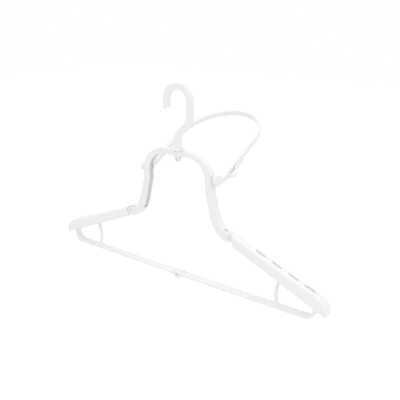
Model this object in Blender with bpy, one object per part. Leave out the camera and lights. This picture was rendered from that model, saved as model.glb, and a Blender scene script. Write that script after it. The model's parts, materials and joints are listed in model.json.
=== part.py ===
"""A white moulded hanger for hooded tops: a swivel hook, a neck arch, two hinged shoulder shells,
a bar in two halves that toggles at its middle, and a tilting hoop that holds the hood open.

The rail rests at the origin, inside the hook's crown. X runs along the hanger to its right end,
Y to the back and Z up. Sizes are in metres and turns in degrees.
"""

import math

import bmesh
import bpy
import numpy as np
from mathutils import Matrix, Vector

# Shared clearances and finishes
SEAT_GAP = 0.0003
RUNNING_GAP = 0.0004
CUT_OVERRUN = 0.004
WALL = 0.0018
ROUND_STEPS = 40
CORNER_STEPS = 4
SMOOTH_ANGLE = 35

# Hook
HOOK_THICKNESS = 0.008
HOOK_WIDTH = 0.0064
HOOK_CORNER = 0.0024
HOOK_BEND_RADIUS = 0.01775
HOOK_BEND_OFFSET = 0.00125
HOOK_INNER_HEIGHT = 0.07275
HOOK_TIP_LENGTH = 0.012
HOOK_SBEND_HEIGHT = 0.040
HOOK_SBEND_SHARES = ((0, 0), (0.03, 0.35), (0.21, 0.51), (0.55, 0.66), (0.87, 0.83), (1, 1))
FLANGE_RADIUS = 0.0083
FLANGE_THICKNESS = 0.0022
FLANGE_ROUND = 0.0007
STEM_PIN_RADIUS = 0.003
PRONG_RADIUS = 0.0041
PRONG_LENGTH = 0.0052
PRONG_SLIT = 0.0016

# Neck arch
NECK_DEPTH = 0.010
NECK_TOP_DROP = 0.001
NECK_OUTER_RADIUS = 0.033
NECK_FLAT_HALF = 0.020
NECK_BAND_TOP = 0.0066
NECK_INNER_RADIUS = 0.0247
NECK_INNER_FLAT_HALF = 0.019
NECK_KNEE_DROP = 0.043
NECK_WEB = 0.002
NECK_BOSS_RADIUS = 0.006
NECK_BOSS_HEIGHT = 0.009
FOOT_OUTER_SHARES = (
    (0, 0), (0.018, 0.075), (0.07, 0.17), (0.166, 0.372), (0.317, 0.62), (0.40, 0.75), (0.54, 0.88),
    (0.66, 0.945), (0.82, 0.985),
)
FOOT_INNER_SHARES = (
    (0, 0), (0.022, 0.09), (0.08, 0.20), (0.148, 0.415), (0.245, 0.626), (0.385, 0.80), (0.50, 0.876),
    (0.66, 0.95), (0.80, 0.99), (0.90, 1),
)
FOOT_SOLID_HEIGHT = 0.0085
FOOT_WINDOW_LENGTH = 0.0052
FOOT_WINDOW_WIDTH = 0.0022
FOOT_WINDOW_SETBACK = 0.0045

# Hinges between neck and shoulders
HINGE_X = 0.0795
HINGE_DROP = 0.097
HINGE_HEAD_RADIUS = 0.0055
HEAD_ARC = (97, -105)
HINGE_PIN_RADIUS = 0.00185
HINGE_PIN_HEAD = 0.0029
HINGE_PIN_HEAD_THICKNESS = 0.001
TONGUE_THICKNESS = 0.0035
FORK_SLOT_LENGTH = 0.0095
FORK_ROOF = 0.0014

# Shoulder shells
SHOULDER_REACH = 0.2102
SHOULDER_DROP = 0.063
SHOULDER_TOP_SHARES = (
    (0, -0.108), (0.07, -0.045), (0.316, 0.163), (0.523, 0.338), (0.730, 0.505), (0.858, 0.603),
    (0.922, 0.667), (0.945, 0.706), (0.9755, 0.767), (0.989, 0.82), (0.998, 0.87), (1, 0.895),
)
SHOULDER_BOTTOM_SHARES = ((0, 0.111), (0.981, 0.994), (0.992, 0.985), (1, 0.95))
SHOULDER_STATION_SHARES = (
    0, 0.035, 0.07, 0.13, 0.2, 0.3, 0.4, 0.5, 0.6, 0.7, 0.8, 0.88, 0.92, 0.945, 0.965, 0.98, 0.99, 0.996, 1,
)
SHOULDER_ROOT_WIDTH = 0.013
SHOULDER_TIP_WIDTH = 0.0145
SHOULDER_TIP_ROUND = 0.0024
SHOULDER_EDGE = 0.0032
SHOULDER_END_BLOCK = 0.0125
SHOULDER_ROOT_SETBACK = 0.005
SHOULDER_ROOT_DROP = 0.0035
STRAP_SLOT_LENGTH = 0.0128
STRAP_SLOT_WIDTH = 0.003
STRAP_SLOT_FIRST_SHARE = 0.317
STRAP_SLOT_PITCH_SHARE = 0.1647
STRAP_SLOTS = 4

# Bar halves
BAR_WIDTH = 0.0126
BAR_THICKNESS = 0.0032
BAR_EDGE = 0.0009
BAR_DROP = 0.1689
TOGGLE_RADIUS = 0.006
TOGGLE_DROP = 0.1697
TOGGLE_BUTT_HEIGHT = 0.0032
TOGGLE_PIN_RADIUS = 0.0021
TOGGLE_PIN_HEAD = 0.0032
TOGGLE_PIN_HEAD_THICKNESS = 0.0012
TOGGLE_PIN_BARB = 0.0027
TOGGLE_PIN_SLIT = 0.001
TOGGLE_PIN_TURN = 30
BAR_END_SETBACK = 0.0162
BAR_END_DROP = 0.152
BAR_END_WIDTH = 0.0076
BAR_END_THICKNESS = 0.0045
BAR_END_RADIUS = 0.0034
BAR_BEND_SHARES = ((0, 0), (0.28, 0.02), (0.56, 0.09), (0.79, 0.26), (0.96, 0.53), (1, 1))
BAR_BEND_LENGTH = 0.013
BAR_END_TAPER_SHARE = 0.625
TRUNNION_RADIUS = 0.0025
STRUT_ARC_RADIUS = 0.0504
STRUT_THICKNESS = 0.003
STRUT_WIDTH = 0.0044
STRUT_FORWARD = 0.0005
STRUT_TOP_DROP = 0.1316
STRUT_FOOT_FLARE_SHARES = (2.4, 1.9, 1.4, 1.15, 1.05, 1)

# Hood hoop
HOOD_PIVOT_BACK = 0.0025
HOOD_PIVOT_DROP = 0.0307
HOOD_DISC_RADIUS = 0.0070
HOOD_DISC_THICKNESS = 0.0054
HOOD_DISC_GAP = 0.0006
HOOD_PIN_RADIUS = 0.0019
HOOD_PIN_HEAD = 0.0021
HOOD_PIN_HEAD_THICKNESS = 0.002
HOOD_PIN_DIMPLE = 0.0011
HOOP_REACH = 0.0794
HOOP_RISE = 0.0302
HOOP_BULGE = 0.0669
HOOP_SLOPE = 19.5
HOOP_WIDTH = 0.005
HOOP_THICKNESS = 0.0074
HOOP_EDGE = 0.0007
ARM_SHARES = ((0, -0.05), (0.12, -0.07), (0.233, -0.002), (0.4, 0.216), (0.6, 0.478), (0.8, 0.739), (1, 1))
ARM_THICKNESS_SHARES = ((0, 1.08), (0.12, 1.08), (0.233, 1.06), (0.6, 1.05), (1, 1.02))
CLIP_START = 0.0175
CLIP_LENGTH = 0.0390
CLIP_OUT = 0.0068
CLIP_WALL = 0.0018
CLIP_HEIGHT = 0.0058
CLIP_SHARES = (
    (0, -0.2), (0.05, 0.33), (0.12, 0.84), (0.19, 1), (0.30, 0.96), (0.48, 0.74), (0.68, 0.42),
    (0.88, 0.08), (1, -0.2),
)

# Places that follow from the sizes above
COLLAR_Z = -HOOK_INNER_HEIGHT
HOOK_BEND_Z = HOOK_THICKNESS / 2 - HOOK_BEND_RADIUS
NECK_TOP_Z = COLLAR_Z - NECK_TOP_DROP
FLANGE_Z = NECK_TOP_Z + RUNNING_GAP
HINGE_Z = COLLAR_Z - HINGE_DROP
LEG_OUTER_X = NECK_FLAT_HALF + NECK_OUTER_RADIUS
LEG_INNER_X = NECK_INNER_FLAT_HALF + NECK_INNER_RADIUS
KNEE_Z = COLLAR_Z - NECK_KNEE_DROP
INNER_TOP_Z = NECK_TOP_Z - NECK_BAND_TOP
BOSS_END_Z = NECK_TOP_Z - NECK_BOSS_HEIGHT
TONGUE_RADIUS = HINGE_HEAD_RADIUS - FORK_ROOF - SEAT_GAP
SHOULDER_LENGTH = SHOULDER_REACH - HINGE_X
TOGGLE_Z = COLLAR_Z - TOGGLE_DROP
BAR_END_X = SHOULDER_REACH - BAR_END_SETBACK
BAR_Z = COLLAR_Z - BAR_DROP
BAR_END_Z = COLLAR_Z - BAR_END_DROP
HOOD_PIVOT_Z = COLLAR_Z - HOOD_PIVOT_DROP
DISC_INNER_X = LEG_OUTER_X + HOOD_DISC_GAP
DISC_OUTER_X = DISC_INNER_X + HOOD_DISC_THICKNESS
HOOP_RADIUS = DISC_INNER_X + HOOP_WIDTH / 2

SIDES = {"right": 1, "left": -1}


def clear_scene():
    for old in list(bpy.data.objects):
        bpy.data.objects.remove(old, do_unlink=True)


def plastic(name, colour, roughness):
    """A plain moulded plastic."""
    material = bpy.data.materials.new(name)
    material.use_nodes = True
    shader = material.node_tree.nodes["Principled BSDF"]
    shader.inputs["Base Color"].default_value = (*colour, 1)
    shader.inputs["Roughness"].default_value = roughness
    shader.inputs["Metallic"].default_value = 0
    return material


def arc(centre, radius, start, stop, steps):
    """Points of a round stretch in the XZ plane, from one angle to another."""
    angles = np.radians(np.linspace(start, stop, steps + 1))
    return [(centre[0] + radius * math.cos(a), centre[1] + radius * math.sin(a)) for a in angles]


def smooth(points, steps):
    """A curve through every point, with its ends as given."""
    points = [np.array(p, float) for p in points]
    padded = [2 * points[0] - points[1], *points, 2 * points[-1] - points[-2]]
    out = []
    for a, b, c, d in zip(padded, padded[1:], padded[2:], padded[3:]):
        for step in range(steps):
            t = step / steps
            bend = (2 * a - 5 * b + 4 * c - d) * t**2 + (3 * b - a - 3 * c + d) * t**3
            out.append((2 * b + (c - a) * t + bend) / 2)
    out.append(points[-1])
    return out


def along(shares, origin, spans):
    """Places of a table of shares: each share times its span, from the origin."""
    return [tuple(o + s * span for o, s, span in zip(origin, share, spans)) for share in shares]


def table(shares, share):
    """The value of a two-column table at a share of its length."""
    columns = np.array(shares)
    return float(np.interp(share, columns[:, 0], columns[:, 1]))


def rounded_section(width, height, corner):
    """Points round a rectangle with rounded corners, centred on zero."""
    points = []
    for quarter, (sx, sy) in enumerate(((1, 1), (-1, 1), (-1, -1), (1, -1))):
        centre = (sx * (width / 2 - corner), sy * (height / 2 - corner))
        start = 90 * quarter
        points += arc(centre, corner, start, start + 90, CORNER_STEPS)
    return points


def loft(rings):
    """A closed shape through rings of the same number of points, capped at both ends."""
    count = len(rings[0])
    vertices = [tuple(point) for ring in rings for point in ring]
    faces = [tuple(range(count)), tuple((len(rings) - 1) * count + i for i in range(count))]
    for row in range(len(rings) - 1):
        for i in range(count):
            j = (i + 1) % count
            faces.append((row * count + i, row * count + j, (row + 1) * count + j, (row + 1) * count + i))
    return vertices, faces


def slab(outline, near, far):
    """An outline in the XZ plane, drawn out along Y."""
    return loft([[(x, y, z) for x, z in outline] for y in (near, far)])


def turned(profile, centre, axis, steps=ROUND_STEPS):
    """A round shape: a profile of (distance along the axis, radius), spun about the axis."""
    axis = Vector(axis).normalized()
    across = axis.orthogonal().normalized()
    other = axis.cross(across)
    rings = []
    for place, radius in profile:
        middle = Vector(centre) + axis * place
        angles = [math.tau * i / steps for i in range(steps)]
        rings.append([middle + across * (radius * math.cos(a)) + other * (radius * math.sin(a)) for a in angles])
    return loft(rings)


def rod(centre, axis, start, stop, radius, steps=ROUND_STEPS):
    return turned(((start, radius), (stop, radius)), centre, axis, steps)


def block(low, high):
    outline = ((low[0], low[2]), (high[0], low[2]), (high[0], high[2]), (low[0], high[2]))
    return slab(outline, low[1], high[1])


def spun(shape, centre, degrees):
    """A shape turned about the Y line through a centre, clockwise as seen from the front."""
    turn = Matrix.Rotation(math.radians(degrees), 4, "Y")
    middle = Vector(centre)
    vertices, faces = shape
    return [tuple(middle + turn @ (Vector(v) - middle)) for v in vertices], faces


def mirrored(shape, side):
    vertices, faces = shape
    return [(side * x, y, z) for x, y, z in vertices], faces


def mesh_of(name, shape, pivot):
    """A mesh of the shape with its origin on the pivot and its faces outwards."""
    vertices, faces = shape
    mesh = bpy.data.meshes.new(name)
    mesh.from_pydata([tuple(Vector(v) - Vector(pivot)) for v in vertices], [], faces)
    form = bmesh.new()
    form.from_mesh(mesh)
    bmesh.ops.recalc_face_normals(form, faces=form.faces)
    form.to_mesh(mesh)
    form.free()
    mesh.shade_smooth()
    mesh.set_sharp_from_angle(angle=math.radians(SMOOTH_ANGLE))
    return mesh


def piece(name, shape, pivot, parent, material):
    """One sub-part, with its origin on its joint's axis."""
    mesh = mesh_of(name, shape, pivot)
    mesh.materials.append(material)
    made = bpy.data.objects.new(name, mesh)
    bpy.context.scene.collection.objects.link(made)
    made["pivot"] = tuple(pivot)
    made.location = Vector(pivot) - Vector(parent["pivot"] if parent else (0, 0, 0))
    made.parent = parent
    return made


def shape_with(target, label, shape, operation):
    """Joins a shape to a piece, or cuts it from the piece."""
    tool = bpy.data.objects.new(f"{target.name}_{label}", mesh_of(label, shape, target["pivot"]))
    bpy.context.scene.collection.objects.link(tool)
    tool.parent = target
    tool.hide_render = True
    tool.display_type = "WIRE"
    modifier = target.modifiers.new(label, "BOOLEAN")
    modifier.object = tool
    modifier.operation = operation
    modifier.solver = "EXACT"


def join(target, label, shape):
    shape_with(target, label, shape, "UNION")


def cut(target, label, shape):
    shape_with(target, label, shape, "DIFFERENCE")


def swept(path, sections, sides, ups):
    """Rings of sections set across a path, each with its own sideways and upward direction."""
    rings = []
    for middle, section, side, up in zip(path, sections, sides, ups):
        rings.append([np.array(middle) + u * np.array(side) + v * np.array(up) for u, v in section])
    return loft(rings)


def sweep_xz(path, sections):
    """A sweep along a path in the XZ plane. A section runs across the path in that plane, then along Y."""
    points = np.array(path, float)
    tangents = np.gradient(points, axis=0)
    tangents /= np.linalg.norm(tangents, axis=1)[:, None]
    middles = [(x, 0, z) for x, z in points]
    across = [(tz, 0, -tx) for tx, tz in tangents]
    return swept(middles, sections, across, [(0, 1, 0)] * len(points))


def hook(material):
    """The hook, its round flange and the split pin that snaps through the neck."""
    leg_x = HOOK_BEND_OFFSET + HOOK_BEND_RADIUS
    foot_z = FLANGE_Z + FLANGE_THICKNESS / 2
    bend = (HOOK_BEND_OFFSET, HOOK_BEND_Z)
    path = smooth(along(HOOK_SBEND_SHARES, (0, foot_z), (leg_x, HOOK_SBEND_HEIGHT)), 4)
    path += arc(bend, HOOK_BEND_RADIUS, 0, 180, 30)
    path.append((HOOK_BEND_OFFSET - HOOK_BEND_RADIUS, HOOK_BEND_Z - HOOK_TIP_LENGTH))
    section = rounded_section(HOOK_THICKNESS, HOOK_WIDTH, HOOK_CORNER)
    made = piece("hook", sweep_xz(path, [section] * len(path)), (0, 0, 0), None, material)
    barb_z = BOSS_END_Z - SEAT_GAP
    profile = (
        (FLANGE_Z + FLANGE_THICKNESS, FLANGE_RADIUS - FLANGE_ROUND),
        (FLANGE_Z + FLANGE_THICKNESS - FLANGE_ROUND, FLANGE_RADIUS),
        (FLANGE_Z, FLANGE_RADIUS),
        (FLANGE_Z, STEM_PIN_RADIUS),
        (barb_z, STEM_PIN_RADIUS),
        (barb_z, PRONG_RADIUS),
        (barb_z - PRONG_LENGTH / 3, PRONG_RADIUS),
        (barb_z - PRONG_LENGTH, STEM_PIN_RADIUS - SEAT_GAP),
    )
    join(made, "collar", turned(profile, (0, 0, 0), (0, 0, 1)))
    slit_top = BOSS_END_Z + NECK_BOSS_HEIGHT / 2
    slit = block(
        (-PRONG_SLIT / 2, -FLANGE_RADIUS, barb_z - PRONG_LENGTH - CUT_OVERRUN),
        (PRONG_SLIT / 2, FLANGE_RADIUS, slit_top),
    )
    cut(made, "prong_slit", slit)
    return made


def leg_curves():
    """The outer and inner outline of one leg, from the arch's middle down to the hinge head."""
    outer_centre = (NECK_FLAT_HALF, NECK_TOP_Z - NECK_OUTER_RADIUS)
    inner_centre = (NECK_INNER_FLAT_HALF, INNER_TOP_Z - NECK_INNER_RADIUS)
    outer_foot = (HINGE_X, HINGE_Z + HINGE_HEAD_RADIUS)
    inner_foot = (HINGE_X, HINGE_Z - HINGE_HEAD_RADIUS)
    outer = arc(outer_centre, NECK_OUTER_RADIUS, 90, 0, 14)
    spans = (outer_foot[0] - LEG_OUTER_X, outer_foot[1] - KNEE_Z)
    outer += smooth(along(FOOT_OUTER_SHARES, (LEG_OUTER_X, KNEE_Z), spans), 4)
    inner = arc(inner_centre, NECK_INNER_RADIUS, 90, 0, 14)
    spans = (inner_foot[0] - LEG_INNER_X, inner_foot[1] - KNEE_Z)
    inner += smooth(along(FOOT_INNER_SHARES, (LEG_INNER_X, KNEE_Z), spans), 4)
    return outer, inner


def neck_arch(parent, material):
    """The arched neck: a web with a front and a back flange, open to the inside, on two forked feet."""
    outer, inner = leg_curves()
    head = arc((HINGE_X, HINGE_Z), HINGE_HEAD_RADIUS, *HEAD_ARC, 16)
    half = outer + head + inner[::-1]
    outline = half + [(-x, z) for x, z in half[::-1]]
    made = piece("neck_arch", slab(outline, -NECK_DEPTH / 2, NECK_DEPTH / 2), (0, 0, NECK_TOP_Z), parent, material)

    # The channel runs inside the web and stops above the solid feet.
    centre = (NECK_FLAT_HALF, NECK_TOP_Z - NECK_OUTER_RADIUS)
    floor_z = HINGE_Z + FOOT_SOLID_HEIGHT
    rim = arc(centre, NECK_OUTER_RADIUS - NECK_WEB, 90, 0, 14)
    spans = (HINGE_X - LEG_OUTER_X, HINGE_Z + HINGE_HEAD_RADIUS - KNEE_Z)
    leg = smooth(along(FOOT_OUTER_SHARES, (LEG_OUTER_X - NECK_WEB, KNEE_Z), spans), 4)
    rim += [point for point in leg if point[1] > floor_z]
    open_centre = (NECK_INNER_FLAT_HALF, INNER_TOP_Z - NECK_INNER_RADIUS)
    mouth = [(LEG_INNER_X - CUT_OVERRUN, floor_z)]
    mouth += arc(open_centre, NECK_INNER_RADIUS - CUT_OVERRUN, 0, 90, 10)
    half = rim + mouth
    channel = half + [(-x, z) for x, z in half[::-1]]
    inside = NECK_DEPTH / 2 - WALL
    cut(made, "channel", slab(channel, -inside, inside))
    join(made, "boss", rod((0, 0, 0), (0, 0, 1), BOSS_END_Z, NECK_TOP_Z - NECK_WEB / 2, NECK_BOSS_RADIUS))
    bore = STEM_PIN_RADIUS + SEAT_GAP
    cut(made, "swivel_bore", rod((0, 0, 0), (0, 0, 1), BOSS_END_Z - CUT_OVERRUN, NECK_TOP_Z + CUT_OVERRUN, bore))
    slot = TONGUE_THICKNESS / 2 + SEAT_GAP
    window_x = HINGE_X - FOOT_WINDOW_SETBACK
    for name, side in SIDES.items():
        fork = block(
            (HINGE_X - FORK_SLOT_LENGTH, -slot, HINGE_Z - 2 * HINGE_HEAD_RADIUS),
            (HINGE_X + 2 * HINGE_HEAD_RADIUS, slot, HINGE_Z + HINGE_HEAD_RADIUS - FORK_ROOF),
        )
        cut(made, f"fork_{name}", mirrored(fork, side))
        window = block(
            (window_x - FOOT_WINDOW_LENGTH, -FOOT_WINDOW_WIDTH / 2, HINGE_Z),
            (window_x, FOOT_WINDOW_WIDTH / 2, HINGE_Z + 3 * HINGE_HEAD_RADIUS),
        )
        cut(made, f"foot_window_{name}", mirrored(window, side))
        pin_bore = rod((HINGE_X, 0, HINGE_Z), (0, 1, 0), -NECK_DEPTH, NECK_DEPTH, HINGE_PIN_RADIUS + SEAT_GAP, 28)
        cut(made, f"hinge_bore_{name}", mirrored(pin_bore, side))
        pivot = (0, HOOD_PIVOT_BACK, HOOD_PIVOT_Z)
        hood_bore = rod(pivot, (1, 0, 0), LEG_INNER_X, LEG_OUTER_X + CUT_OVERRUN, HOOD_PIN_RADIUS + SEAT_GAP, 28)
        cut(made, f"hood_bore_{name}", mirrored(hood_bore, side))
    return made


def hinge_pin(name, side, parent, material):
    """A headed pin from the back through the forked foot and the shoulder's tongue."""
    back = NECK_DEPTH / 2 + SEAT_GAP
    profile = (
        (-NECK_DEPTH / 2 - SEAT_GAP, HINGE_PIN_RADIUS - SEAT_GAP),
        (-NECK_DEPTH / 2, HINGE_PIN_RADIUS),
        (back, HINGE_PIN_RADIUS),
        (back, HINGE_PIN_HEAD),
        (back + HINGE_PIN_HEAD_THICKNESS / 2, HINGE_PIN_HEAD),
        (back + HINGE_PIN_HEAD_THICKNESS, HINGE_PIN_HEAD - HINGE_PIN_HEAD_THICKNESS / 2),
    )
    shape = mirrored(turned(profile, (HINGE_X, 0, HINGE_Z), (0, 1, 0), 28), side)
    return piece(f"neck_pin_{name}", shape, (side * HINGE_X, 0, HINGE_Z), parent, material)


def shoulder_place(share, table_of_shares):
    """A point of the shoulder's outline at a share of its length."""
    return HINGE_X + share * SHOULDER_LENGTH, HINGE_Z - SHOULDER_DROP * table(table_of_shares, share)


def shoulder_width(share):
    """The shell's width, which grows from its root to its tip."""
    return SHOULDER_ROOT_WIDTH + share * (SHOULDER_TIP_WIDTH - SHOULDER_ROOT_WIDTH)


def shoulder_half_width(share):
    """Half the shell's width, rounded off in plan at the tip."""
    to_tip = (1 - share) * SHOULDER_LENGTH
    rounding = max(0, 1 - to_tip / SHOULDER_TIP_ROUND)
    return shoulder_width(share) / 2 - SHOULDER_TIP_ROUND * (1 - math.sqrt(1 - rounding**2))


def shell_ring(x, top, bottom, half_width, edge):
    """One upright section of the shell: flat below and rounded along both top edges."""
    edge = min(edge, (top - bottom) / 2, half_width / 2)
    upper = arc((half_width - edge, top - edge), edge, 0, 90, CORNER_STEPS)
    upper += arc((-half_width + edge, top - edge), edge, 90, 180, CORNER_STEPS)
    return [(x, half_width, bottom), *[(x, y, z) for y, z in upper], (x, -half_width, bottom)]


def shoulder(name, side, parent, material):
    """A shoulder shell, open below, with four strap slots and the hinge tongue at its root."""
    rings = []
    for share in SHOULDER_STATION_SHARES:
        x, top = shoulder_place(share, SHOULDER_TOP_SHARES)
        bottom = shoulder_place(share, SHOULDER_BOTTOM_SHARES)[1]
        rings.append(shell_ring(x, top, bottom, shoulder_half_width(share), SHOULDER_EDGE))
    pivot = (side * HINGE_X, 0, HINGE_Z)
    made = piece(f"shoulder_{name}", mirrored(loft(rings), side), pivot, parent, material)

    # The hollow follows the outside one wall in.
    start = SHOULDER_END_BLOCK / SHOULDER_LENGTH
    stop = 1 - WALL / SHOULDER_LENGTH
    last = stop - SEAT_GAP / SHOULDER_LENGTH
    rings = []
    for share in (start, *[s for s in SHOULDER_STATION_SHARES if start < s < last], stop):
        x = shoulder_place(share, SHOULDER_TOP_SHARES)[0]
        ahead = min(1, share + WALL / SHOULDER_LENGTH)
        top = min(shoulder_place(s, SHOULDER_TOP_SHARES)[1] for s in (share, ahead)) - WALL
        bottom = shoulder_place(share, SHOULDER_BOTTOM_SHARES)[1] - CUT_OVERRUN
        rings.append(shell_ring(x, top, bottom, shoulder_width(share) / 2 - WALL, SHOULDER_EDGE - WALL / 2))
    cut(made, "hollow", mirrored(loft(rings), side))
    clear_of_head = rod((HINGE_X, 0, HINGE_Z), (0, 1, 0), -NECK_DEPTH, NECK_DEPTH, HINGE_HEAD_RADIUS + RUNNING_GAP)
    cut(made, "head_clearance", mirrored(clear_of_head, side))
    root_end = block(
        (0, -SHOULDER_TIP_WIDTH, HINGE_Z - SHOULDER_DROP),
        (HINGE_X + SHOULDER_ROOT_SETBACK, SHOULDER_TIP_WIDTH, HINGE_Z - SHOULDER_ROOT_DROP),
    )
    cut(made, "root_end", mirrored(root_end, side))
    root_x, root_top = shoulder_place((SHOULDER_END_BLOCK - WALL) / SHOULDER_LENGTH, SHOULDER_TOP_SHARES)
    tongue = arc((HINGE_X, HINGE_Z), TONGUE_RADIUS, 90, 270, 20)
    tongue += [(root_x, HINGE_Z - TONGUE_RADIUS), (root_x, root_top - WALL)]
    join(made, "tongue", mirrored(slab(tongue, -TONGUE_THICKNESS / 2, TONGUE_THICKNESS / 2), side))
    bore = rod((HINGE_X, 0, HINGE_Z), (0, 1, 0), -NECK_DEPTH, NECK_DEPTH, HINGE_PIN_RADIUS + SEAT_GAP, 28)
    cut(made, "hinge_bore", mirrored(bore, side))
    for index in range(STRAP_SLOTS):
        middle, top = shoulder_place(STRAP_SLOT_FIRST_SHARE + index * STRAP_SLOT_PITCH_SHARE, SHOULDER_TOP_SHARES)
        near = (middle - STRAP_SLOT_LENGTH / 2, -STRAP_SLOT_WIDTH / 2, top - 2 * CUT_OVERRUN)
        far = (middle + STRAP_SLOT_LENGTH / 2, STRAP_SLOT_WIDTH / 2, top + 2 * CUT_OVERRUN)
        cut(made, f"strap_slot_{index + 1}", mirrored(block(near, far), side))
    return made


def toggle_pin(parent, material):
    """The split pin in the bar's middle, sunk flush: a head behind, two barbed prongs in front."""
    face = BAR_WIDTH / 2
    seat = face - TOGGLE_PIN_HEAD_THICKNESS + SEAT_GAP
    profile = (
        (-face, TOGGLE_PIN_BARB - SEAT_GAP),
        (-face + SEAT_GAP, TOGGLE_PIN_BARB),
        (-seat, TOGGLE_PIN_BARB),
        (-seat, TOGGLE_PIN_RADIUS),
        (seat, TOGGLE_PIN_RADIUS),
        (seat, TOGGLE_PIN_HEAD),
        (face - SEAT_GAP, TOGGLE_PIN_HEAD),
        (face, TOGGLE_PIN_HEAD - SEAT_GAP),
    )
    centre = (0, 0, TOGGLE_Z)
    made = piece("centre_pin", turned(profile, centre, (0, 1, 0), 28), centre, parent, material)
    slit = block(
        (-TOGGLE_PIN_HEAD, -face - CUT_OVERRUN, TOGGLE_Z - TOGGLE_PIN_SLIT / 2),
        (TOGGLE_PIN_HEAD, 0, TOGGLE_Z + TOGGLE_PIN_SLIT / 2),
    )
    cut(made, "slit", spun(slit, centre, TOGGLE_PIN_TURN))
    return made


def bar_path():
    """The bar half's middle line: straight from the toggle, then up to the pivot inside the shell."""
    bend_x = BAR_END_X - BAR_BEND_LENGTH
    points = [(TOGGLE_RADIUS + RUNNING_GAP, BAR_Z), ((TOGGLE_RADIUS + bend_x) / 2, BAR_Z)]
    rise = BAR_END_Z - BAR_Z
    bend = smooth(along(BAR_BEND_SHARES, (bend_x, BAR_Z), (BAR_BEND_LENGTH, rise)), 4)
    return points + [tuple(p) for p in bend]


def bar_half(name, side, parent, material):
    """One half of the bar, with its toggle lap, its upturned end with trunnions, and its strut."""
    path = bar_path()
    sections = []
    for x, z in path:
        share = min(1, max(0, (z - BAR_Z) / (BAR_END_Z - BAR_Z) / BAR_END_TAPER_SHARE))
        width = BAR_WIDTH + share * (BAR_END_WIDTH - BAR_WIDTH)
        thickness = BAR_THICKNESS + share * (BAR_END_THICKNESS - BAR_THICKNESS)
        sections.append(rounded_section(thickness, width, BAR_EDGE))
    made = piece(f"bar_{name}", mirrored(sweep_xz(path, sections), side), (0, 0, TOGGLE_Z), parent, material)
    half = BAR_WIDTH / 2
    lap = SEAT_GAP / 2
    near, far = (-half, -lap) if side > 0 else (lap, half)
    flat = math.degrees(math.asin(TOGGLE_BUTT_HEIGHT / TOGGLE_RADIUS))
    disc = arc((0, TOGGLE_Z), TOGGLE_RADIUS, 180 - flat, 360 + flat, ROUND_STEPS)
    join(made, "toggle_disc", mirrored(slab(disc, near, far), side))
    bar_top = BAR_Z + BAR_THICKNESS / 2
    bar_low = BAR_Z - BAR_THICKNESS / 2
    lap_arm = block((0, near, bar_low + BAR_EDGE / 2), (2 * TOGGLE_RADIUS, far, bar_top - BAR_EDGE / 2))
    join(made, "lap_arm", mirrored(lap_arm, side))
    butt_x = TOGGLE_RADIUS + RUNNING_GAP - SEAT_GAP
    butt = block((-butt_x, near, TOGGLE_Z), (0, far, TOGGLE_Z + TOGGLE_BUTT_HEIGHT))
    join(made, "butt", mirrored(butt, side))
    bore = rod((0, 0, TOGGLE_Z), (0, 1, 0), -BAR_WIDTH, BAR_WIDTH, TOGGLE_PIN_RADIUS + SEAT_GAP, 28)
    cut(made, "toggle_bore", bore)
    seat_depth = TOGGLE_PIN_HEAD_THICKNESS
    if side > 0:
        barb = TOGGLE_PIN_BARB + SEAT_GAP
        cut(made, "barb_seat", rod((0, 0, TOGGLE_Z), (0, 1, 0), near - CUT_OVERRUN, near + seat_depth, barb, 28))
    else:
        head = TOGGLE_PIN_HEAD + SEAT_GAP
        cut(made, "head_seat", rod((0, 0, TOGGLE_Z), (0, 1, 0), far - seat_depth, far + CUT_OVERRUN, head, 28))
    end = (BAR_END_X, 0, BAR_END_Z)
    knob = rod(end, (0, 1, 0), -BAR_END_WIDTH / 2, BAR_END_WIDTH / 2, BAR_END_RADIUS, 32)
    join(made, "end_knob", mirrored(knob, side))
    reach = shoulder_width((BAR_END_X - HINGE_X) / SHOULDER_LENGTH) / 2 - WALL - SEAT_GAP
    join(made, "trunnions", mirrored(rod(end, (0, 1, 0), -reach, reach, TRUNNION_RADIUS, 28), side))
    join(made, "strut", mirrored(strut(), side))
    return made


def strut():
    """The slim post on the bar, an arc about the bar's end pivot, flared at its foot."""
    low = math.degrees(math.asin((BAR_Z - BAR_END_Z) / STRUT_ARC_RADIUS))
    high = math.degrees(math.asin((COLLAR_Z - STRUT_TOP_DROP - BAR_END_Z) / STRUT_ARC_RADIUS))
    path = arc((BAR_END_X, BAR_END_Z), STRUT_ARC_RADIUS, 180 - low, 180 - high, 18)
    sections = []
    for index in range(len(path)):
        flare = STRUT_FOOT_FLARE_SHARES[min(index, len(STRUT_FOOT_FLARE_SHARES) - 1)]
        width = STRUT_WIDTH * (1 + flare) / 2
        sections.append(rounded_section(STRUT_THICKNESS * flare, width, STRUT_THICKNESS / 4))
    vertices, faces = sweep_xz(path, sections)
    return [(x, y - STRUT_FORWARD, z) for x, y, z in vertices], faces


def arm_line():
    """The hood arm's middle line as (Y, Z), from its disc to where the hoop begins."""
    points = along(ARM_SHARES, (HOOD_PIVOT_BACK, HOOD_PIVOT_Z), (HOOP_REACH, HOOP_RISE))
    return np.array(smooth(points, 4))


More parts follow.
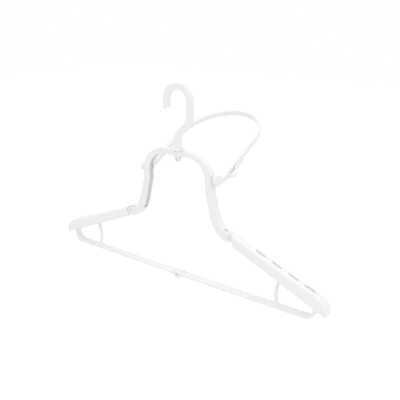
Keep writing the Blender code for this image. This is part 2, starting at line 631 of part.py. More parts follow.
def hood_sweep():
    """The arms and the hoop as one sweep, from the right disc round to the left disc."""
    line = arm_line()
    shares = (line[:, 0] - HOOD_PIVOT_BACK) / HOOP_REACH
    slopes = np.arctan2(*np.gradient(line, axis=0).T[::-1])
    slope = math.radians(HOOP_SLOPE)
    forward = np.array((0, math.cos(slope), math.sin(slope)))
    centre = np.array((0, *line[-1]))
    path = [(HOOP_RADIUS, y, z) for y, z in line]
    ups = [(0, -math.sin(s), math.cos(s)) for s in slopes]
    heights = [table(ARM_THICKNESS_SHARES, s) * HOOP_THICKNESS for s in shares]
    for angle in np.radians(np.linspace(0, 180, ROUND_STEPS + 1))[1:-1]:
        outward = HOOP_RADIUS * math.cos(angle) * np.array((1, 0, 0))
        path.append(centre + outward + HOOP_BULGE * math.sin(angle) * forward)
        ups.append((0, -math.sin(slope), math.cos(slope)))
        heights.append(HOOP_THICKNESS)
    path += [(-HOOP_RADIUS, y, z) for y, z in line[::-1]]
    ups += ups[: len(line)][::-1]
    heights += heights[: len(line)][::-1]
    path = np.array(path, float)
    tangents = np.gradient(path, axis=0)
    sides = np.cross(tangents, np.array(ups, float))
    sides /= np.linalg.norm(sides, axis=1)[:, None]
    sections = [rounded_section(HOOP_WIDTH, height, HOOP_EDGE) for height in heights]
    return swept(path, sections, sides, ups)


def clip():
    """The cord clip on the outside of the right arm: a strap that bows out and comes back."""
    line = arm_line()
    spans = (CLIP_LENGTH, CLIP_OUT)
    outside = HOOP_RADIUS + HOOP_WIDTH / 2
    plan = smooth(along(CLIP_SHARES, (HOOD_PIVOT_BACK + CLIP_START, outside), spans), 4)
    path = np.array([(x, y, np.interp(y, line[:, 0], line[:, 1])) for y, x in plan])
    slopes = np.arctan2(*np.gradient(line, axis=0).T[::-1])
    turns = np.interp(path[:, 1], line[:, 0], slopes)
    ups = [(0, -math.sin(s), math.cos(s)) for s in turns]
    sides = np.cross(np.gradient(path, axis=0), np.array(ups))
    sides /= np.linalg.norm(sides, axis=1)[:, None]
    section = rounded_section(CLIP_WALL, CLIP_HEIGHT, CLIP_WALL / 3)
    return swept(path, [section] * len(path), sides, ups)


def hood_hoop(parent, material):
    """The hoop with its two arms, pivot discs and cord clips, one moulding."""
    pivot = (0, HOOD_PIVOT_BACK, HOOD_PIVOT_Z)
    made = piece("hood_hoop", hood_sweep(), pivot, parent, material)
    for name, side in SIDES.items():
        rim = FLANGE_ROUND
        profile = (
            (DISC_INNER_X, HOOD_DISC_RADIUS),
            (DISC_OUTER_X - rim, HOOD_DISC_RADIUS),
            (DISC_OUTER_X, HOOD_DISC_RADIUS - rim),
        )
        join(made, f"disc_{name}", mirrored(turned(profile, pivot, (1, 0, 0)), side))
        join(made, f"clip_{name}", mirrored(clip(), side))
        face = block(
            (0, pivot[1] - 2 * HOOD_DISC_RADIUS, pivot[2] - 2 * HOOD_DISC_RADIUS),
            (DISC_INNER_X, pivot[1] + 2 * HOOD_DISC_RADIUS, pivot[2] + 2 * HOOD_DISC_RADIUS),
        )
        cut(made, f"face_{name}", mirrored(face, side))
        hole = rod(pivot, (1, 0, 0), LEG_OUTER_X, DISC_OUTER_X - WALL, HOOD_PIN_RADIUS + SEAT_GAP, 28)
        cut(made, f"pin_hole_{name}", mirrored(hole, side))
    return made


def hood_pin(name, side, parent, material):
    """The headed pin pushed from inside the leg into the hood's disc."""
    pivot = (0, HOOD_PIVOT_BACK, HOOD_PIVOT_Z)
    head = LEG_OUTER_X - NECK_WEB - SEAT_GAP
    front = head - HOOD_PIN_HEAD_THICKNESS
    profile = (
        (front, HOOD_PIN_HEAD - SEAT_GAP),
        (front + SEAT_GAP, HOOD_PIN_HEAD),
        (head, HOOD_PIN_HEAD),
        (head, HOOD_PIN_RADIUS),
        (DISC_OUTER_X - WALL - SEAT_GAP, HOOD_PIN_RADIUS),
    )
    shape = mirrored(turned(profile, pivot, (1, 0, 0), 28), side)
    made = piece(f"hood_pin_{name}", shape, (side * LEG_OUTER_X, *pivot[1:]), parent, material)
    depth = HOOD_PIN_HEAD_THICKNESS / 2
    dimple = rod(pivot, (1, 0, 0), front - CUT_OVERRUN, front + depth, HOOD_PIN_DIMPLE, 24)
    cut(made, "dimple", mirrored(dimple, side))
    return made


def main():
    clear_scene()
    white = plastic("hanger_white", (0.86, 0.86, 0.86), 0.42)
    hook_white = plastic("hook_white", (0.87, 0.87, 0.87), 0.38)
    pin_white = plastic("pin_white", (0.84, 0.84, 0.84), 0.45)
    held = hook(hook_white)
    neck = neck_arch(held, white)
    middle = toggle_pin(neck, pin_white)
    hood = hood_hoop(neck, white)
    for name, side in SIDES.items():
        hinge_pin(name, side, neck, pin_white)
        shoulder(name, side, neck, white)
        bar_half(name, side, middle, white)
        hood_pin(name, side, hood, pin_white)


main()
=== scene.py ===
"""The looks of the white moulded hanger for hooded tops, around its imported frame.

Everything is in metres, in the frame's own axes: the rail rests at the origin inside the hook's
crown, X runs to the hanger's right end, Y to its back and Z up.
"""
import json
import math

import bmesh
import bpy
import numpy as np
from mathutils import Matrix, Vector


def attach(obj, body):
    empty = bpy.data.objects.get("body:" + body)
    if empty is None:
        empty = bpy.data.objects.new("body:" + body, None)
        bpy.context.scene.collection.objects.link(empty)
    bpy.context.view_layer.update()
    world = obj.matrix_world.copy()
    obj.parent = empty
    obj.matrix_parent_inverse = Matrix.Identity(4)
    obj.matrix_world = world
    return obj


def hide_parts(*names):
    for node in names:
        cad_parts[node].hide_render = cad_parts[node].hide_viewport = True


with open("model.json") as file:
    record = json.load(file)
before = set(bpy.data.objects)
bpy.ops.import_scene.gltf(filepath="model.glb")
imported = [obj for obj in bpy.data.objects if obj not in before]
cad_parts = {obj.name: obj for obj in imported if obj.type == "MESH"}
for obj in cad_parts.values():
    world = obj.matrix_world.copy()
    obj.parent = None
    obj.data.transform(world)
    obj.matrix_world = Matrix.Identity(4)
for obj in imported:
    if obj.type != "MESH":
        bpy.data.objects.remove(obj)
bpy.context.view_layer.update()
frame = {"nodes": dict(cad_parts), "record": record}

# Names from the record, and the two sides of the hanger
SLOTS = {part["node"]: part["material_slot"] for part in frame["record"]["subparts"]}
BODIES = {node: body for body, nodes in frame["record"]["behaviour"]["bodies"].items() for node in nodes}
SIDES = (("right", 1), ("left", -1))

# Camera above the hanger's right front
CAMERA_AZIMUTH = 35.71
CAMERA_ELEVATION = 20.01
CAMERA_DISTANCE = 0.6686
CAMERA_RIGHT = 0.02693
CAMERA_DOWN = 0.06234
CAMERA_TARGET = (0, 0, -0.07275)
CAMERA_LENS = 49.08
CAMERA_NEAREST = 0.01
SENSOR = 36

# Floor and light: each lamp has its name, place, size and power
FLOOR_Z = -0.95
FLOOR_SIZE = 14
FLOOR_PAINT = 0.86
FLOOR_LIFT = 0.4
ROOM_LIGHT = 0.885
LAMP_AIM = (0, 0, -0.13)
LAMPS = (
    ("lamp_above", (0, 0, 1.4), 1.6, 3.8),
    ("lamp_front", (0.82, -1.15, 0.44), 0.6, 1.2),
    ("lamp_right", (1.6, -0.7, 0.5), 1.4, 1.0),
)

# Finishes: each slot's level of white, roughness and strength of grain, and what they share
FINISH_VALUES = {
    "hanger_white": (0.93, 0.42, 0.25),
    "hook_white": (0.925, 0.36, 0.3),
    "pin_white": (0.91, 0.45, 0.5),
}
CLOUDS = {"Scale": 38, "Detail": 3, "Roughness": 0.55}
GRAIN = {"Scale": 900, "Detail": 4, "Roughness": 0.6}
RIPPLES = {"Scale": 160, "Detail": 2, "Roughness": 0.5}
CLOUD_EDGES = (0.3, 0.7)
CLOUD_SHADE = 0.985
GLOSS_LESS = 0.05
GLOSS_MORE = 0.06
GRAIN_SHARE = 0.35
GRAIN_DEPTH = 0.0001
EASED_EDGE = 0.0004
EASED_EDGE_SAMPLES = 8
PLASTIC_IOR = 1.49

# Mouldings that keep their frame node's shape
MERGE_DISTANCE = 0.00001
DIRECTION_STEP = 0.01
SHARP_ANGLE = 32
SMOOTHED_NODES = (
    "neck_arch", "neck_pin_left", "neck_pin_right", "shoulder_left", "shoulder_right", "centre_pin",
    "bar_left", "bar_right",
)

# Fineness of the worked-out surfaces, and the flat middle of a turned end as a share of its radius
CORNER_STEPS = 7
ROUND_STEPS = 64
RING_GAP = 0.0008
CAP_SHARE = 0.25

# Hook: its S-bend is given in shares of the leg's place along X and of its height
HOOK_THICKNESS = 0.008
HOOK_WIDTH = 0.0072
HOOK_CORNER = 0.0007
HOOK_BEND_RADIUS = 0.01775
HOOK_BEND_X = 0.00125
HOOK_BEND_Z = HOOK_THICKNESS / 2 - HOOK_BEND_RADIUS
HOOK_TIP_LENGTH = 0.012
HOOK_TIP_ROUND = 0.0005
HOOK_TIP_SLANT = 0.4
HOOK_TIP_SLANT_LENGTH = 0.009
HOOK_FOOT_Z = -0.07225
HOOK_SBEND_HEIGHT = 0.0409
HOOK_SBEND_SHARES = ((0, 0), (0.03, 0.35), (0.21, 0.51), (0.55, 0.66), (0.87, 0.83), (1, 1))
HOOK_SBEND_STEPS = 16

# Collar, stem pin and snap prongs: the prong's profile is radius and height over the boss's end
FLANGE_TOP_Z = -0.07115
FLANGE_LOW_Z = -0.07335
FLANGE_RADIUS = 0.0083
FLANGE_ROUND = 0.0007
FLANGE_FILLET = 0.0009
STEM_RADIUS = 0.003
BOSS_END_Z = -0.08275
SEAT_GAP = 0.0003
PRONG_RADIUS = 0.0041
PRONG_LENGTH = 0.0052
PRONG_TIP_RADIUS = 0.0034
PRONG_SLIT = 0.0016
PRONG_STEPS = 32
PRONG_PROFILE = (
    (STEM_RADIUS, SEAT_GAP), (STEM_RADIUS, -SEAT_GAP), (PRONG_RADIUS, -2 * SEAT_GAP),
    (PRONG_RADIUS, -PRONG_LENGTH / 3), (PRONG_TIP_RADIUS, -PRONG_LENGTH),
)

# Hood hoop with its arms and discs: an arm's line is in shares of its reach and rise
HOOD_PIVOT_Y = 0.0025
HOOD_PIVOT_Z = -0.10345
DISC_INNER_X = 0.0535
DISC_OUTER_X = 0.059
DISC_RADIUS = 0.007
DISC_INNER_ROUND = 0.0003
DISC_OUTER_ROUND = 0.0007
HOOP_REACH = 0.0794
HOOP_RISE = 0.0302
HOOP_BULGE = 0.0669
HOOP_SLOPE = 19.5
HOOP_WIDTH = 0.005
HOOP_THICKNESS = 0.0074
HOOP_EDGE = 0.0007
HOOP_STEPS = 144
ARM_INNER_X = 0.0536
ARM_STEPS = 12
ARM_SHARES = (
    (0, -0.05), (0.12, -0.07), (0.233, -0.002), (0.4, 0.216), (0.6, 0.478), (0.8, 0.739), (1, 1),
)
ARM_THICKNESS_SHARES = ((0, 1.08), (0.12, 1.08), (0.233, 1.06), (0.6, 1.05), (1, 1.02))

# Cord clips: seen from above, in shares of the length along the arm and of the way out from it
CLIP_START = 0.024
CLIP_LENGTH = 0.0313
CLIP_OUT = 0.0067
CLIP_LOWER = 0.00066
CLIP_WALL = 0.0018
CLIP_HEIGHT = 0.0067
CLIP_ROUND = 0.0005
CLIP_CORNER = 0.0006
CLIP_SHARES = (
    (0, -0.2), (0.01, 0.15), (0.029, 0.45), (0.058, 0.72), (0.102, 0.92), (0.163, 1), (0.23, 0.9),
    (0.307, 0.62), (0.383, 0.38), (0.479, 0.25), (0.703, 0.19), (1, 0.175),
)

# Hood pins
HOOD_PIN_RADIUS = 0.0019
HOOD_PIN_HEAD = 0.0021
HOOD_PIN_HEAD_ROUND = 0.0003
HOOD_PIN_FRONT_X = 0.0461
HOOD_PIN_SEAT_X = 0.0507
HOOD_PIN_END_X = 0.0569
HOOD_PIN_DIMPLE = 0.0011
HOOD_PIN_DIMPLE_DEPTH = 0.0004

# Struts between the bar halves and the shoulder shells
BAR_END_X = 0.194
BAR_END_Z = -0.22475
STRUT_ARC_RADIUS = 0.0504
STRUT_ARC = (198.5, 157)
STRUT_STEPS = 36
STRUT_THICKNESS = 0.0036
STRUT_WIDTH = 0.0052
STRUT_CORNER = 0.0009
STRUT_FORWARD = 0.0005

# Rim on the centre pin's head: its place (X, Z), and its profile of depth and radius
PIN_RIM_PLACE = (0, -0.24245)
PIN_RIM_PROFILE = (
    (-0.0058, 0.0016), (-0.0062, 0.0016), (-0.0065, 0.0019),
    (-0.0065, 0.0026), (-0.0062, 0.0029), (-0.0058, 0.0029),
)

# Gate mark on the right leg's front: its place (X, Z), and its profile of depth and radius
GATE_PLACE = (0.0492, -0.1025)
GATE_PROFILE = (
    (-0.0035, 0.0003), (-0.0035, 0.0008), (-0.00515, 0.0008), (-0.00525, 0.0007), (-0.00525, 0.0003),
)
GATE_STEPS = 16


def link(obj):
    """Adds an object to the scene."""
    bpy.context.scene.collection.objects.link(obj)
    return obj


def grey(level):
    """The colour of an even level, 1 for white."""
    return (level, level, level, 1)


class Nodes:
    """A short way to write a material's or a world's node tree."""

    def __init__(self, tree):
        self.tree = tree
        tree.nodes.clear()

    def add(self, kind, values=None, **settings):
        node = self.tree.nodes.new(kind)
        for name, value in settings.items():
            setattr(node, name, value)
        for name, value in (values or {}).items():
            node.inputs[name].default_value = value
        return node

    def join(self, source, target):
        self.tree.links.new(source, target)


def moulded_plastic(name, white, roughness, grain):
    """Moulded plastic: faint clouds in the colour, an uneven gloss, a fine grain and eased edges."""
    material = bpy.data.materials.new(name)
    material.use_nodes = True
    nodes = Nodes(material.node_tree)
    place = nodes.add("ShaderNodeTexCoord").outputs["Object"]
    noises = [nodes.add("ShaderNodeTexNoise", values) for values in (CLOUDS, GRAIN, RIPPLES)]
    for noise in noises:
        nodes.join(place, noise.inputs["Vector"])
    clouds, skin, ripples = noises
    tint = nodes.add("ShaderNodeValToRGB")
    for stop, edge, level in zip(tint.color_ramp.elements, CLOUD_EDGES, (white * CLOUD_SHADE, white)):
        stop.position = edge
        stop.color = grey(level)
    nodes.join(clouds.outputs["Fac"], tint.inputs["Fac"])
    gloss_range = {"To Min": roughness - GLOSS_LESS, "To Max": roughness + GLOSS_MORE}
    gloss = nodes.add("ShaderNodeMapRange", gloss_range)
    nodes.join(ripples.outputs["Fac"], gloss.inputs["Value"])
    heights = nodes.add("ShaderNodeMath", operation="MULTIPLY_ADD")
    heights.inputs[1].default_value = GRAIN_SHARE
    nodes.join(skin.outputs["Fac"], heights.inputs[0])
    nodes.join(ripples.outputs["Fac"], heights.inputs[2])
    bump = nodes.add("ShaderNodeBump", {"Strength": grain, "Distance": GRAIN_DEPTH})
    nodes.join(heights.outputs[0], bump.inputs["Height"])
    edges = nodes.add("ShaderNodeBevel", {"Radius": EASED_EDGE}, samples=EASED_EDGE_SAMPLES)
    nodes.join(edges.outputs["Normal"], bump.inputs["Normal"])
    shader = nodes.add("ShaderNodeBsdfPrincipled", {"IOR": PLASTIC_IOR})
    nodes.join(tint.outputs["Color"], shader.inputs["Base Color"])
    nodes.join(gloss.outputs["Result"], shader.inputs["Roughness"])
    nodes.join(bump.outputs["Normal"], shader.inputs["Normal"])
    out = nodes.add("ShaderNodeOutputMaterial")
    nodes.join(shader.outputs["BSDF"], out.inputs["Surface"])
    return material


def seen_directly(nodes):
    """1 for camera, mirror and see-through rays, 0 for the light that falls on the object."""
    path = nodes.add("ShaderNodeLightPath")
    first = nodes.add("ShaderNodeMath", operation="MAXIMUM")
    nodes.join(path.outputs["Is Camera Ray"], first.inputs[0])
    nodes.join(path.outputs["Is Glossy Ray"], first.inputs[1])
    both = nodes.add("ShaderNodeMath", operation="MAXIMUM")
    nodes.join(first.outputs[0], both.inputs[0])
    nodes.join(path.outputs["Is Transmission Ray"], both.inputs[1])
    return both.outputs[0]


def room():
    """An even white room: full white where it is seen, a plain level where it lights the object."""
    world = bpy.data.worlds.new("room")
    bpy.context.scene.world = world
    world.use_nodes = True
    nodes = Nodes(world.node_tree)
    strength = nodes.add("ShaderNodeMapRange", {"To Min": ROOM_LIGHT, "To Max": 1})
    nodes.join(seen_directly(nodes), strength.inputs["Value"])
    light = nodes.add("ShaderNodeBackground", {"Color": grey(1)})
    nodes.join(strength.outputs["Result"], light.inputs["Strength"])
    out = nodes.add("ShaderNodeOutputWorld")
    nodes.join(light.outputs["Background"], out.inputs["Surface"])


def floor():
    """A wide white floor below the hanger, lifted to white where it is seen, which keeps the shadow."""
    half = FLOOR_SIZE / 2
    corners = [(x * half, y * half, FLOOR_Z) for x, y in ((-1, -1), (1, -1), (1, 1), (-1, 1))]
    mesh = bpy.data.meshes.new("floor")
    mesh.from_pydata(corners, [], [(0, 1, 2, 3)])
    made = link(bpy.data.objects.new("floor", mesh))
    material = bpy.data.materials.new("white_floor")
    material.use_nodes = True
    nodes = Nodes(material.node_tree)
    paint = nodes.add("ShaderNodeBsdfDiffuse", {"Color": grey(FLOOR_PAINT)})
    glow = nodes.add("ShaderNodeEmission", {"Color": grey(1)})
    lift = nodes.add("ShaderNodeMath", operation="MULTIPLY")
    lift.inputs[1].default_value = FLOOR_LIFT
    nodes.join(seen_directly(nodes), lift.inputs[0])
    nodes.join(lift.outputs[0], glow.inputs["Strength"])
    both = nodes.add("ShaderNodeAddShader")
    nodes.join(paint.outputs["BSDF"], both.inputs[0])
    nodes.join(glow.outputs["Emission"], both.inputs[1])
    out = nodes.add("ShaderNodeOutputMaterial")
    nodes.join(both.outputs[0], out.inputs["Surface"])
    mesh.materials.append(material)


def lamp(name, place, size, power):
    """A soft square lamp aimed at the hanger's middle."""
    data = bpy.data.lights.new(name, "AREA")
    data.size = size
    data.energy = power
    made = link(bpy.data.objects.new(name, data))
    aim = Vector(LAMP_AIM) - Vector(place)
    made.location = place
    made.rotation_euler = aim.to_track_quat("-Z", "Y").to_euler()


def camera():
    """The camera, back from its target along its azimuth and elevation, then moved across its view."""
    azimuth = math.radians(CAMERA_AZIMUTH)
    elevation = math.radians(CAMERA_ELEVATION)
    back = Vector((
        math.sin(azimuth) * math.cos(elevation),
        -math.cos(azimuth) * math.cos(elevation),
        math.sin(elevation),
    ))
    right = Vector((math.cos(azimuth), math.sin(azimuth), 0))
    up = back.cross(right)
    eye = Vector(CAMERA_TARGET) + back * CAMERA_DISTANCE + right * CAMERA_RIGHT - up * CAMERA_DOWN
    data = bpy.data.cameras.new("camera")
    data.sensor_width = SENSOR
    data.lens = CAMERA_LENS
    data.clip_start = CAMERA_NEAREST
    made = link(bpy.data.objects.new("camera", data))
    made.matrix_world = Matrix((
        (right.x, up.x, back.x, eye.x),
        (right.y, up.y, back.y, eye.y),
        (right.z, up.z, back.z, eye.z),
        (0, 0, 0, 1),
    ))
    bpy.context.scene.camera = made


def dress(node):
    """Gives a frame node the finish of its slot."""
    mesh = frame["nodes"][node].data
    mesh.materials.clear()
    mesh.materials.append(FINISHES[SLOTS[node]])


def curve_through(points, steps):
    """A smooth curve through the points: each stretch is the cubic of its four nearest points."""
    points = np.asarray(points, float)
    padded = np.vstack([2 * points[0] - points[1], points, 2 * points[-1] - points[-2]])
    a, b, c, d = (padded[start : len(padded) - 3 + start, None] for start in range(4))
    t = (np.arange(steps) / steps)[None, :, None]
    bend = (2 * a - 5 * b + 4 * c - d) * t**2 + (3 * b - a - 3 * c + d) * t**3
    curve = (2 * b + (c - a) * t + bend) / 2
    return np.vstack([curve.reshape(-1, points.shape[1]), points[-1]])


def lengths_along(path):
    """The length of a path from its start to each of its points."""
    return np.concatenate([[0], np.cumsum(np.linalg.norm(np.diff(path, axis=0), axis=1))])


def at_lengths(path, places):
    """The points of a path at the given lengths along it."""
    lengths = lengths_along(path)
    return np.stack([np.interp(places, lengths, column) for column in path.T], 1)


def directions(path):
    """The unit direction of a path at each of its points."""
    steps = np.gradient(path, axis=0)
    return steps / np.linalg.norm(steps, axis=1)[:, None]


def rounded_rings(widths, heights, corners):
    """Rounded rectangles, one per ring: a quarter circle about each of the four inner corners."""
    quarters = np.radians(np.linspace(0, 90, CORNER_STEPS + 1)[None] + 90 * np.arange(4)[:, None])
    signs = np.array(((1, 1), (-1, 1), (-1, -1), (1, -1)))
    wide = (widths / 2 - corners)[:, None, None] * signs[:, 0][None, :, None]
    high = (heights / 2 - corners)[:, None, None] * signs[:, 1][None, :, None]
    across = wide + corners[:, None, None] * np.cos(quarters)
    up = high + corners[:, None, None] * np.sin(quarters)
    return np.stack([across.reshape(len(widths), -1), up.reshape(len(widths), -1)], -1)


def rounded_end_inset(lengths, radius):
    """How far a section shrinks near either end of a path, so that its end is a quarter round."""
    to_end = np.minimum(lengths, lengths[-1] - lengths)
    depth = np.clip(radius - to_end, 0, radius)
    return radius - np.sqrt(radius**2 - depth**2)


def places_along(total, gap, end_round):
    """Lengths a steady gap apart, closer together where the ends are rounded."""
    count = max(2, int(round((total - 2 * end_round) / gap)) + 1)
    inner = np.linspace(end_round, total - end_round, count)
    rise = end_round * (1 - np.cos(np.radians(np.linspace(0, 90, CORNER_STEPS + 1))[:-1]))
    return np.concatenate([rise, inner, total - rise[::-1]])


def closed_skin(rings):
    """Corners and faces of a closed surface through rings of points, with a flat face at each end."""
    count, width = rings.shape[:2]
    index = np.arange(count * width).reshape(count, width)
    ahead = np.roll(index, -1, axis=1)
    quads = np.stack([index[:-1], ahead[:-1], ahead[1:], index[1:]], -1).reshape(-1, 4)
    faces = quads.tolist() + [index[0, ::-1].tolist(), index[-1].tolist()]
    return rings.reshape(-1, 3), faces


def looped_skin(rings):
    """Corners and faces of a closed surface through rings of points, the last joined to the first."""
    index = np.arange(rings.shape[0] * rings.shape[1]).reshape(rings.shape[:2])
    ahead = np.roll(index, -1, axis=1)
    quads = np.stack([index, ahead, np.roll(ahead, -1, axis=0), np.roll(index, -1, axis=0)], -1)
    return rings.reshape(-1, 3), quads.reshape(-1, 4).tolist()


def bar_skin(path, ups, widths, heights, corners):
    """A rounded bar: its section stands across the path, its height along the given upward lines."""
    sides = np.cross(np.gradient(path, axis=0), ups)
    sides /= np.linalg.norm(sides, axis=1)[:, None]
    rings = rounded_rings(widths, heights, corners)
    return closed_skin(path[:, None] + rings[..., :1] * sides[:, None] + rings[..., 1:] * ups[:, None])


def circles(radii, places, steps=ROUND_STEPS):
    """A turned profile: each radius times the cosine and the sine of even angles, at its own place."""
    angles = np.linspace(0, math.tau, steps, endpoint=False)[None]
    radii, places = np.array((radii, places), float)[:, :, None]
    return radii * np.cos(angles), radii * np.sin(angles), places + 0 * angles


def turned_across(profile, side):
    """A profile of (place along X, radius) turned about the hood's pivot line."""
    places, radii = np.array(profile).T
    back, up, along = circles(radii, places)
    return closed_skin(np.stack([side * along, HOOD_PIVOT_Y + back, HOOD_PIVOT_Z + up], -1))


def turned_forward(profile, x, z, steps=ROUND_STEPS):
    """The rings of a (depth, radius) profile turned about the line from front to back through (x, z)."""
    places, radii = np.array(profile).T
    right, up, depth = circles(radii, places, steps)
    return np.stack([x + right, depth, z + up], -1)


def quarter_round(centre, radius, start, stop):
    """Points of a profile's round stretch: a circle about its centre, between two angles in degrees."""
    angles = np.radians(np.linspace(start, stop, CORNER_STEPS + 1))
    return [(centre[0] + radius * math.cos(a), centre[1] + radius * math.sin(a)) for a in angles]


def piece(name, mesh, node):
    """Puts a piece in the scene: it rides on its node's body, stands for the node and has its finish."""
    mesh.materials.append(FINISHES[SLOTS[node]])
    made = link(bpy.data.objects.new(name, mesh))
    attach(made, BODIES[node])
    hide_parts(node)
    return made


def moulding(name, skins, node):
    """One piece from closed skins, shaded smooth up to SHARP_ANGLE with its flats kept flat."""
    corners = []
    faces = []
    for points, polygons in skins:
        faces += [[len(corners) + corner for corner in polygon] for polygon in polygons]
        corners += points.tolist()
    mesh = bpy.data.meshes.new(name)
    mesh.from_pydata(corners, [], faces)
    form = bmesh.new()
    form.from_mesh(mesh)
    bmesh.ops.recalc_face_normals(form, faces=form.faces)
    form.to_mesh(mesh)
    form.free()
    mesh.shade_smooth()
    mesh.set_sharp_from_angle(angle=math.radians(SHARP_ANGLE))
    weights = piece(name, mesh, node).modifiers.new("flat_faces", "WEIGHTED_NORMAL")
    weights.keep_sharp = True


def even_normals(mesh):
    """The shading direction at each face corner: the mean of the directions that meet at its vertex.

    Each different direction within SHARP_ANGLE of the corner's own face counts once, whatever its
    faces' number and size, so that thin triangles don't bend the light on a round or a flat.
    """
    sizes = np.empty(len(mesh.polygons), int)
    mesh.polygons.foreach_get("loop_total", sizes)
    vertices = np.empty(len(mesh.loops), int)
    mesh.loops.foreach_get("vertex_index", vertices)
    facing = np.empty(3 * len(mesh.polygons))
    mesh.polygons.foreach_get("normal", facing)
    facing = np.repeat(facing.reshape(-1, 3), sizes, axis=0)
    keys = np.column_stack([vertices, np.rint(facing / DIRECTION_STEP).astype(int)])
    pairs, which = np.unique(keys, axis=0, return_inverse=True)
    firsts = np.searchsorted(pairs[:, 0], pairs[:, 0])
    ranks = np.arange(len(pairs)) - firsts
    fans = np.zeros((pairs[:, 0].max() + 1, ranks.max() + 1, 3))
    fans[pairs[:, 0], ranks] = pairs[:, 1:] * DIRECTION_STEP
    cosines = np.einsum("vid,vjd->vij", fans, fans)
    near = (cosines > math.cos(math.radians(SHARP_ANGLE))).astype(float)
    means = np.einsum("vij,vjd->vid", near, fans)[pairs[:, 0], ranks]
    means /= np.linalg.norm(means, axis=1)[:, None]
    mesh.normals_split_custom_set(means[which.ravel()].tolist())


def smoothed(node):
    """A moulding in its frame node's own shape, with its rounds shaded smooth and its flats flat."""
    form = bmesh.new()
    form.from_mesh(frame["nodes"][node].data)
    bmesh.ops.remove_doubles(form, verts=form.verts, dist=MERGE_DISTANCE)
    mesh = bpy.data.meshes.new(f"{node}_moulding")
    form.to_mesh(mesh)
    form.free()
    mesh.shade_smooth()
    even_normals(mesh)
    piece(f"{node}_moulding", mesh, node)


def hook_skin():
    """The hook: a rounded rectangle carried up the S-bend, round the crown's half circle and down.

    The S-bend is the smooth curve through its shares. Near the tip each point is raised by a share
    of its distance from the outer face, so that the end stands slanted.
    """
    leg_x = HOOK_BEND_X + HOOK_BEND_RADIUS
    sbend = np.array(HOOK_SBEND_SHARES) * (leg_x, HOOK_SBEND_HEIGHT) + (0, HOOK_FOOT_Z)
    angles = np.radians(np.linspace(0, 180, ROUND_STEPS + 1))
    crown = np.stack([np.cos(angles), np.sin(angles)], 1) * HOOK_BEND_RADIUS + (HOOK_BEND_X, HOOK_BEND_Z)
    tip = np.array([[HOOK_BEND_X - HOOK_BEND_RADIUS, HOOK_BEND_Z - HOOK_TIP_LENGTH]])
    line = np.vstack([curve_through(sbend, HOOK_SBEND_STEPS), crown, tip])
    total = lengths_along(line)[-1]
    places = places_along(total, RING_GAP, HOOK_TIP_ROUND)
    path = at_lengths(line, places)
    inset = rounded_end_inset(places, HOOK_TIP_ROUND)
    rings = rounded_rings(HOOK_THICKNESS - 2 * inset, HOOK_WIDTH - 2 * inset, HOOK_CORNER - inset)
    along = directions(path)
    across = np.stack([along[:, 1], 0 * along[:, 0], -along[:, 0]], 1)
    middle = np.stack([path[:, 0], 0 * path[:, 0], path[:, 1]], 1)
    points = middle[:, None] + rings[..., :1] * across[:, None] + rings[..., 1:] * np.array((0, 1, 0))
    slant = HOOK_TIP_SLANT * np.clip((places - total) / HOOK_TIP_SLANT_LENGTH + 1, 0, 1)
    points[..., 2] += slant[:, None] * (HOOK_THICKNESS / 2 - rings[..., 0])
    return closed_skin(points)


def collar_skin():
    """The collar and stem pin: a profile with quarter rounds, turned about the upright axis."""
    waist = HOOK_WIDTH / 2
    fillet_z = FLANGE_TOP_Z + FLANGE_FILLET
    rim = FLANGE_RADIUS - FLANGE_ROUND
    profile = [(waist * CAP_SHARE, fillet_z)]
    profile += quarter_round((waist + FLANGE_FILLET, fillet_z), FLANGE_FILLET, 180, 270)
    profile += quarter_round((rim, FLANGE_TOP_Z - FLANGE_ROUND), FLANGE_ROUND, 90, 0)
    profile += quarter_round((rim, FLANGE_LOW_Z + FLANGE_ROUND), FLANGE_ROUND, 0, -90)
    profile += [(STEM_RADIUS, FLANGE_LOW_Z), (STEM_RADIUS, BOSS_END_Z)]
    profile += [(STEM_RADIUS * CAP_SHARE, BOSS_END_Z)]
    return closed_skin(np.stack(circles(*np.array(profile).T), -1))


def prong_skin(side):
    """A snap prong: round sections cut off flat at the slit, of the profile's radius at each height."""
    radii, rises = np.array(PRONG_PROFILE).T[:, :, None]
    spread = np.arccos(PRONG_SLIT / 2 / radii) * np.linspace(-1, 1, PRONG_STEPS)[None]
    points = [side * radii * np.cos(spread), radii * np.sin(spread), BOSS_END_Z + rises + 0 * spread]
    return closed_skin(np.stack(points, -1))


def hook():
    """The hook with its collar, stem pin and two snap prongs, one moulding."""
    moulding("hook_moulding", [hook_skin(), collar_skin(), prong_skin(1), prong_skin(-1)], "hook")


def arm_line():
    """An arm's middle line as (Y, Z) and its slope at each point, from the disc to the hoop."""
    points = np.array(ARM_SHARES) * (HOOP_REACH, HOOP_RISE) + (HOOD_PIVOT_Y, HOOD_PIVOT_Z)
    line = curve_through(points, ARM_STEPS)
    steps = np.gradient(line, axis=0)
    return line, np.arctan2(steps[:, 1], steps[:, 0])


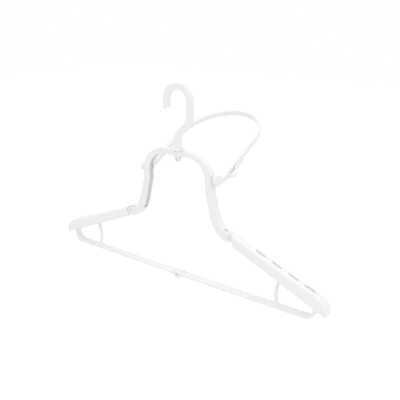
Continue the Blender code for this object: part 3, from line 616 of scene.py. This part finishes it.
def hoop_skin():
    """The arms and the hoop: one rounded bar up the right arm, round the hoop and down the left.

    The hoop is half an ellipse, as wide as the arms stand apart, in a plane that rises HOOP_SLOPE.
    """
    line, slopes = arm_line()
    slope = math.radians(HOOP_SLOPE)
    back = np.array((0, math.cos(slope), math.sin(slope)))
    radius = ARM_INNER_X + HOOP_WIDTH / 2
    angles = np.radians(np.linspace(0, 180, HOOP_STEPS + 1))[1:-1, None]
    outward = radius * np.cos(angles) * np.array((1, 0, 0))
    round_path = np.array((0, *line[-1])) + outward + HOOP_BULGE * np.sin(angles) * back
    arm = np.column_stack([np.full(len(line), radius), line])
    path = np.vstack([arm, round_path, (arm * (-1, 1, 1))[::-1]])
    arm_ups = np.column_stack([0 * slopes, -np.sin(slopes), np.cos(slopes)])
    round_ups = np.tile((0, -math.sin(slope), math.cos(slope)), (len(round_path), 1))
    ups = np.vstack([arm_ups, round_ups, arm_ups[::-1]])
    shares, thicknesses = np.array(ARM_THICKNESS_SHARES).T
    reached = (line[:, 0] - HOOD_PIVOT_Y) / HOOP_REACH
    arm_heights = HOOP_THICKNESS * np.interp(reached, shares, thicknesses)
    heights = np.concatenate([arm_heights, np.full(len(round_path), HOOP_THICKNESS), arm_heights[::-1]])
    return bar_skin(path, ups, np.full(len(path), HOOP_WIDTH), heights, np.full(len(path), HOOP_EDGE))


def clip_skin(side):
    """A cord clip: a strap that leaves the arm squarely, bows out and runs back beside the arm.

    Its plan is the smooth curve through its shares, laid on the arm's own rise and slope.
    """
    line, slopes = arm_line()
    plan = curve_through(np.array(CLIP_SHARES) * (CLIP_LENGTH, CLIP_OUT), ARM_STEPS)
    places = places_along(lengths_along(plan)[-1], RING_GAP / 2, CLIP_ROUND)
    y, out = (at_lengths(plan, places) + (CLIP_START, ARM_INNER_X + HOOP_WIDTH)).T
    turns = np.interp(y, line[:, 0], slopes)
    ups = np.column_stack([0 * turns, -np.sin(turns), np.cos(turns)])
    path = np.column_stack([side * out, y, np.interp(y, line[:, 0], line[:, 1])]) - CLIP_LOWER * ups
    inset = rounded_end_inset(places, CLIP_ROUND)
    return bar_skin(path, ups, CLIP_WALL - 2 * inset, CLIP_HEIGHT - 2 * inset, CLIP_CORNER - inset)


def disc_skin(side):
    """A pivot disc: a profile with a quarter round at its outer and its inner face, turned."""
    inner, outer = DISC_INNER_ROUND, DISC_OUTER_ROUND
    profile = [(DISC_INNER_X, DISC_RADIUS * CAP_SHARE)]
    profile += quarter_round((DISC_INNER_X + inner, DISC_RADIUS - inner), inner, 180, 90)
    profile += quarter_round((DISC_OUTER_X - outer, DISC_RADIUS - outer), outer, 90, 0)
    profile += [(DISC_OUTER_X, DISC_RADIUS * CAP_SHARE)]
    return turned_across(profile, side)


def hood():
    """The hood hoop with its arms, discs and cord clips, one moulding, and its two dimpled pins."""
    skins = [hoop_skin()]
    for _, side in SIDES:
        skins += [disc_skin(side), clip_skin(side)]
    moulding("hood_hoop_moulding", skins, "hood_hoop")
    dimple_x = HOOD_PIN_FRONT_X + HOOD_PIN_DIMPLE_DEPTH
    profile = [
        (dimple_x, HOOD_PIN_DIMPLE * CAP_SHARE),
        (dimple_x, HOOD_PIN_DIMPLE),
        (HOOD_PIN_FRONT_X, HOOD_PIN_DIMPLE),
        (HOOD_PIN_FRONT_X, HOOD_PIN_HEAD - HOOD_PIN_HEAD_ROUND),
        (HOOD_PIN_FRONT_X + HOOD_PIN_HEAD_ROUND, HOOD_PIN_HEAD),
        (HOOD_PIN_SEAT_X, HOOD_PIN_HEAD),
        (HOOD_PIN_SEAT_X, HOOD_PIN_RADIUS),
        (HOOD_PIN_END_X, HOOD_PIN_RADIUS),
    ]
    for name, side in SIDES:
        moulding(f"hood_pin_{name}_moulding", [turned_across(profile, side)], f"hood_pin_{name}")


def strut_skin(side):
    """A strut: a rounded bar on an arc about the bar's end pivot, from the bar up into its shell."""
    angles = np.radians(np.linspace(*STRUT_ARC, STRUT_STEPS))
    out = side * (BAR_END_X + STRUT_ARC_RADIUS * np.cos(angles))
    up = BAR_END_Z + STRUT_ARC_RADIUS * np.sin(angles)
    path = np.column_stack([out, 0 * angles - STRUT_FORWARD, up])
    ups = np.tile((0, 1, 0), (STRUT_STEPS, 1))
    sizes = [np.full(STRUT_STEPS, size) for size in (STRUT_THICKNESS, STRUT_WIDTH, STRUT_CORNER)]
    return bar_skin(path, ups, *sizes)


FINISHES = {slot: moulded_plastic(slot, *values) for slot, values in FINISH_VALUES.items()}

bpy.context.scene.view_settings.view_transform = "Standard"
camera()
room()
floor()
for settings in LAMPS:
    lamp(*settings)
for node in SLOTS:
    dress(node)
for node in SMOOTHED_NODES:
    smoothed(node)
hook()
hood()
gate_rings = turned_forward(GATE_PROFILE, *GATE_PLACE, GATE_STEPS)
moulding("neck_gate_mark", [closed_skin(gate_rings)], "neck_arch")
rim_rings = turned_forward(PIN_RIM_PROFILE, *PIN_RIM_PLACE)
moulding("centre_pin_rim", [looped_skin(rim_rings)], "centre_pin")
for name, side in SIDES:
    moulding(f"strut_{name}_moulding", [strut_skin(side)], f"bar_{name}")
